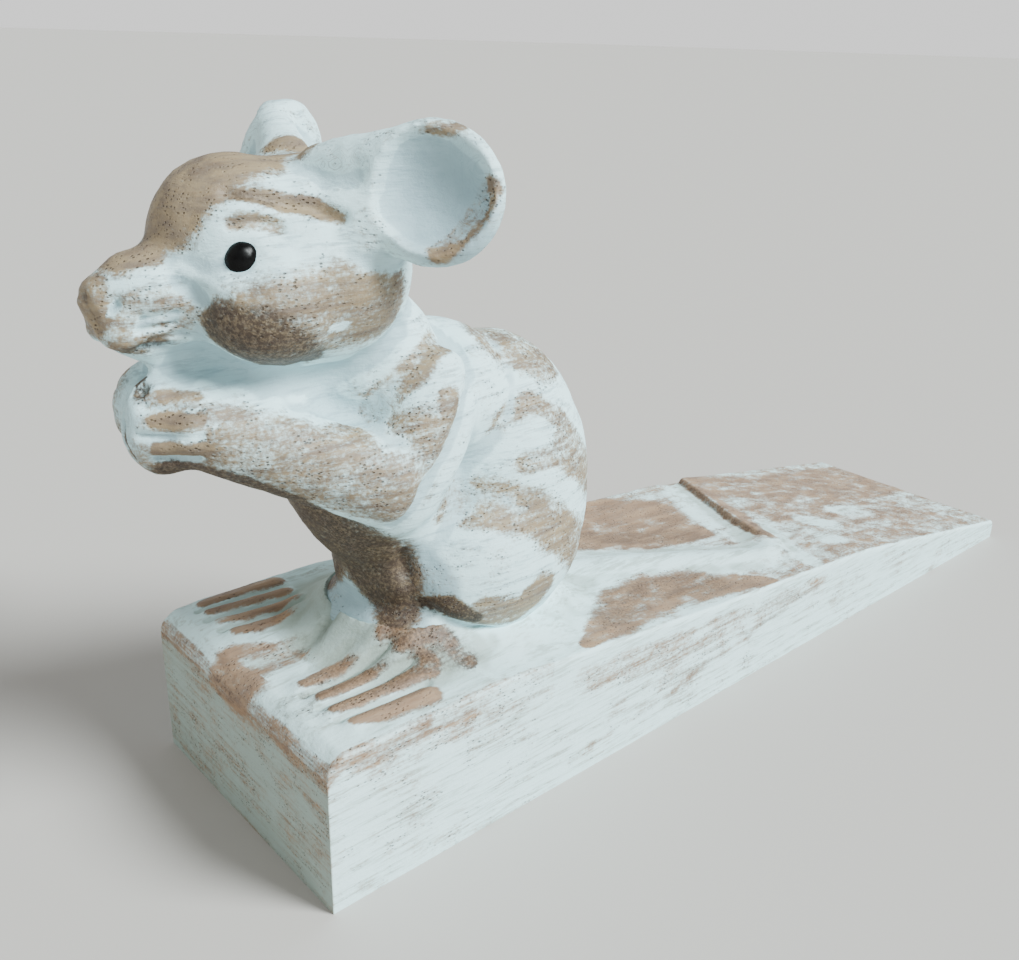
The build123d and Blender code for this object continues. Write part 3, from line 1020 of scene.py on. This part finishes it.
def noise_of(tree, place, scale, detail=3.0, roughness=0.55):
    settings = {"Vector": place, "Scale": scale, "Detail": detail, "Roughness": roughness}
    return add(tree, "TexNoise", settings).outputs["Fac"]


# %% [markdown]
# ## The limewash pattern
# The finish is one idea used twice: wood below, wash above, and a mask between them. Mouse and
# wedge both use it with their own strengths, so it is a node group. The noise works in
# millimetres and is squeezed along X, because the grain runs along the block. On the thick end the
# grain is cut across, so the brush's own direction counts there.

# %% Pattern group
group = bpy.data.node_groups.new("sanded_limewash", "ShaderNodeTree")
for name, start in (("Streaks", 0.8), ("Clouds", 0.5), ("Specks", 0.4)):
    group.interface.new_socket(name, in_out="INPUT", socket_type="NodeSocketFloat").default_value = start
for name in ("Wood", "Pores", "Thin Wash", "Height"):
    group.interface.new_socket(name, in_out="OUTPUT", socket_type="NodeSocketFloat")
group_in = group.nodes.new("NodeGroupInput")
group_out = group.nodes.new("NodeGroupOutput")
in_mm = stretched(group, add(group, "TexCoord").outputs["Object"], (1000, 1000, 1000))
facing = add(group, "NewGeometry").outputs["Normal"]
end_face = ramp(group, add(group, "SeparateXYZ", {"Vector": facing}).outputs["X"], -0.70, -0.95)
along_grain, across_end = (0.07, 0.45, 1.0), (0.10, 0.06, 1.3)
squeeze = add(group, "Mix", {0: end_face, 4: along_grain, 5: across_end}, data_type="VECTOR").outputs[1]
grain_place = stretched(group, in_mm, squeeze)
print("pattern group", [item.name for item in group.interface.items_tree])

# %% [markdown]
# ## Where the wood shows
# A sanded edge is never a clean line. The mask starts from the painted `sanded` value, and noise at
# three sizes breaks its edge: long streaks for the grain, slow clouds for the hand's pressure and
# fine specks for the rough wash. Flecks of wash are put back where it was rubbed lightly.

# %% Where the wood shows
sanded = painted(group, "sanded")
streaks = noise_of(group, grain_place, 0.9, 6.0, 0.7)
clouds = noise_of(group, in_mm, 0.16, 4.0)
specks = noise_of(group, in_mm, 1.5, 4.0, 0.65)
rub = sanded
for pattern, strength in ((streaks, "Streaks"), (clouds, "Clouds"), (specks, "Specks")):
    rub = sum_of(group, rub, times(group, minus(group, pattern, 0.5), group_in.outputs[strength]))
rub = sum_of(group, rub, painted(group, "hollow"), -0.45)
flecks = noise_of(group, stretched(group, in_mm, (0.35, 0.8, 1.0)), 2.6, 3.0, 0.6)
lightly_rubbed = ramp(group, sanded, 0.98, 0.55, 0.06, 0.42)
fleck_mask = times(group, ramp(group, flecks, 0.42, 0.70), lightly_rubbed)
wood_mask = times(group, ramp(group, rub, 0.12, 0.92), minus(group, 1.0, fleck_mask))
print("wood mask", len(group.nodes), "nodes")

# %% [markdown]
# ## Pores, thin wash and relief
# Bare wood has small dark pores in loose fields, so dots from Voronoi cells are kept only where
# slow noise and the rubbing allow them. The wash is thin where streaks and brush lines meet. The
# relief uses the same patterns, so the wash stands above the wood and the pores are dents.

# %% Pores, thin wash and relief
pore_place = stretched(group, in_mm, (0.55, 0.9, 1.0))
pore_cells = add(group, "TexVoronoi", {"Vector": pore_place, "Scale": 2.1}).outputs["Distance"]
pore_fields = ramp(group, noise_of(group, in_mm, 0.30, 3.0), 0.36, 0.66)
pores = times(group, ramp(group, pore_cells, 0.34, 0.14), pore_fields)
pores = times(group, pores, ramp(group, rub, 0.22, 0.45))
brushing = noise_of(group, grain_place, 3.2, 4.0)
thin = times(group, ramp(group, streaks, 0.38, 0.66), ramp(group, brushing, 0.30, 0.62))
height = times(group, streaks, 0.5)
for part, share in ((brushing, 0.25), (specks, 0.35), (wood_mask, -0.25), (pores, -0.9)):
    height = sum_of(group, height, part, share)
for name, value in (("Wood", wood_mask), ("Pores", pores), ("Thin Wash", thin), ("Height", height)):
    group.links.new(value, group_out.inputs[name])
print("pattern group", len(group.nodes), "nodes")

# %% [markdown]
# ## Colours of wood, wash and dark wood
# Bare wood goes from light to deep along its grain. The wash is nearly white and turns towards its
# shade colour in random streaks where it is thin, and as painted shade where it is marked shaded and
# in a hollow. The darkening of the wood, stain and painted shade together, is broken by fine speckle
# and varies with the grain. One function each keeps the three apart, so that each can be judged by
# itself.


# %% Colours of wood, wash and dark wood
def bare_wood(tree, place, grain, light, deep):
    tone = noise_of(tree, place, 110.0, 3.0)
    wood = blend_colours(tree, ramp(tree, grain, 0.35, 0.68), light, deep)
    return blend_colours(tree, ramp(tree, tone, 0.45, 0.65, 0.0, 0.35), wood, deep)


def wash_coat(tree, thin, grain, wash, shade):
    # Painted shade: the wash turns to its shade colour where it is marked shaded, with some grain tone.
    shade_and_grain = sum_of(tree, painted(tree, "painted_shade"), grain, 0.3)
    coat = blend_colours(tree, ramp(tree, thin, 0.05, 1.0, 0.0, 0.55), wash, shade)
    # Painted shade in hollows.
    coat = blend_colours(tree, ramp(tree, painted(tree, "hollow"), 0.3, 1.0, 0.0, 0.5), coat, shade)
    return blend_colours(tree, ramp(tree, shade_and_grain, 0.2, 1.2, 0.0, 0.85), coat, shade)


def broken_stain_and_shade(tree, place, grain, bare):
    speckle = ramp(tree, noise_of(tree, place, 1900.0, 5.0, 0.7), 0.36, 0.60, 0.50, 1.0)
    grained = ramp(tree, sum_of(tree, bare, grain, 1.2), 0.45, 1.15, 0.35, 1.0)
    return times(tree, times(tree, painted(tree, "stain_and_shade"), speckle), grained)


# %% [markdown]
# ## The finish
# The layers are blended in order: wash over wood where it wasn't rubbed, as on the real object, then
# the dark wood stain with its painted shade over both, then dirt in the pores. Bare wood is a little
# smoother than the chalky wash. Mouse and wedge differ in colour only a little, so one function
# makes both.


# %% The finish
def limewashed_wood(name, light, deep, dark, wash, shade, **strengths):
    finish = bpy.data.materials.new(name)
    finish.use_nodes = True
    tree = finish.node_tree
    shader = tree.nodes["Principled BSDF"]
    pattern = tree.nodes.new("ShaderNodeGroup")
    pattern.node_tree = group
    for socket, value in strengths.items():
        pattern.inputs[socket.title()].default_value = value
    bare = pattern.outputs["Wood"]
    place = add(tree, "TexCoord").outputs["Object"]
    grain = noise_of(tree, stretched(tree, place, (60, 420, 900)), 1.0, 7.0, 0.6)
    wood = bare_wood(tree, place, grain, light, deep)
    coat = wash_coat(tree, pattern.outputs["Thin Wash"], grain, wash, shade)
    stain_and_shade = broken_stain_and_shade(tree, place, grain, bare)
    colour = blend_colours(tree, ramp(tree, bare, 0.0, 1.0, 0.0, 0.93), coat, wood)
    # Stain and painted shade darken wood and wash here.
    colour = blend_colours(tree, ramp(tree, stain_and_shade, 0.0, 0.9, 0.0, 0.92), colour, dark)
    colour = blend_colours(tree, times(tree, pattern.outputs["Pores"], 0.75), colour, dark)
    tree.links.new(colour, shader.inputs["Base Color"])
    tree.links.new(ramp(tree, bare, 0.0, 1.0, 0.72, 0.56), shader.inputs["Roughness"])
    relief = add(
        tree, "Bump", {"Height": pattern.outputs["Height"], "Strength": 0.8, "Distance": 0.32 * MM}
    )
    tree.links.new(relief.outputs["Normal"], shader.inputs["Normal"])
    print(name, len(tree.nodes), "nodes")
    return finish


carved_finish = limewashed_wood(
    "limewashed_carving", (0.27, 0.178, 0.074, 1), (0.140, 0.080, 0.037, 1), (0.030, 0.016, 0.009, 1),
    (0.62, 0.88, 0.92, 1), (0.25, 0.37, 0.42, 1), streaks=1.0, clouds=0.7, specks=0.9,
)
block_finish = limewashed_wood(
    "limewashed_block", (0.33, 0.19, 0.092, 1), (0.19, 0.10, 0.050, 1), (0.036, 0.019, 0.011, 1),
    (0.63, 0.87, 0.90, 1), (0.27, 0.33, 0.28, 1), streaks=1.15, clouds=0.9, specks=0.6,
)
for piece, finish in ((mouse, carved_finish), (wedge, block_finish)):
    piece.data.materials.clear()
    piece.data.materials.append(finish)

# %% [markdown]
# ## Eye lacquer
# The eyes are glossy but handled, so their highlight is small and a little soft. A fully smooth
# black would mirror the window, so a fine noise varies the roughness, as smudges do.

# %% Eye lacquer
lacquer.use_nodes = True
eye_tree = lacquer.node_tree
eye_shader = eye_tree.nodes["Principled BSDF"]
smudge = noise_of(eye_tree, add(eye_tree, "TexCoord").outputs["Object"], 900.0, 3.0)
eye_black = blend_colours(eye_tree, smudge, (0.001, 0.001, 0.001, 1), (0.004, 0.004, 0.004, 1))
eye_tree.links.new(ramp(eye_tree, smudge, 0.35, 0.65, 0.20, 0.36), eye_shader.inputs["Roughness"])
eye_tree.links.new(eye_black, eye_shader.inputs["Base Color"])
eye_shader.inputs["Specular IOR Level"].default_value = 0.12
print("lacquer", len(eye_tree.nodes), "nodes")
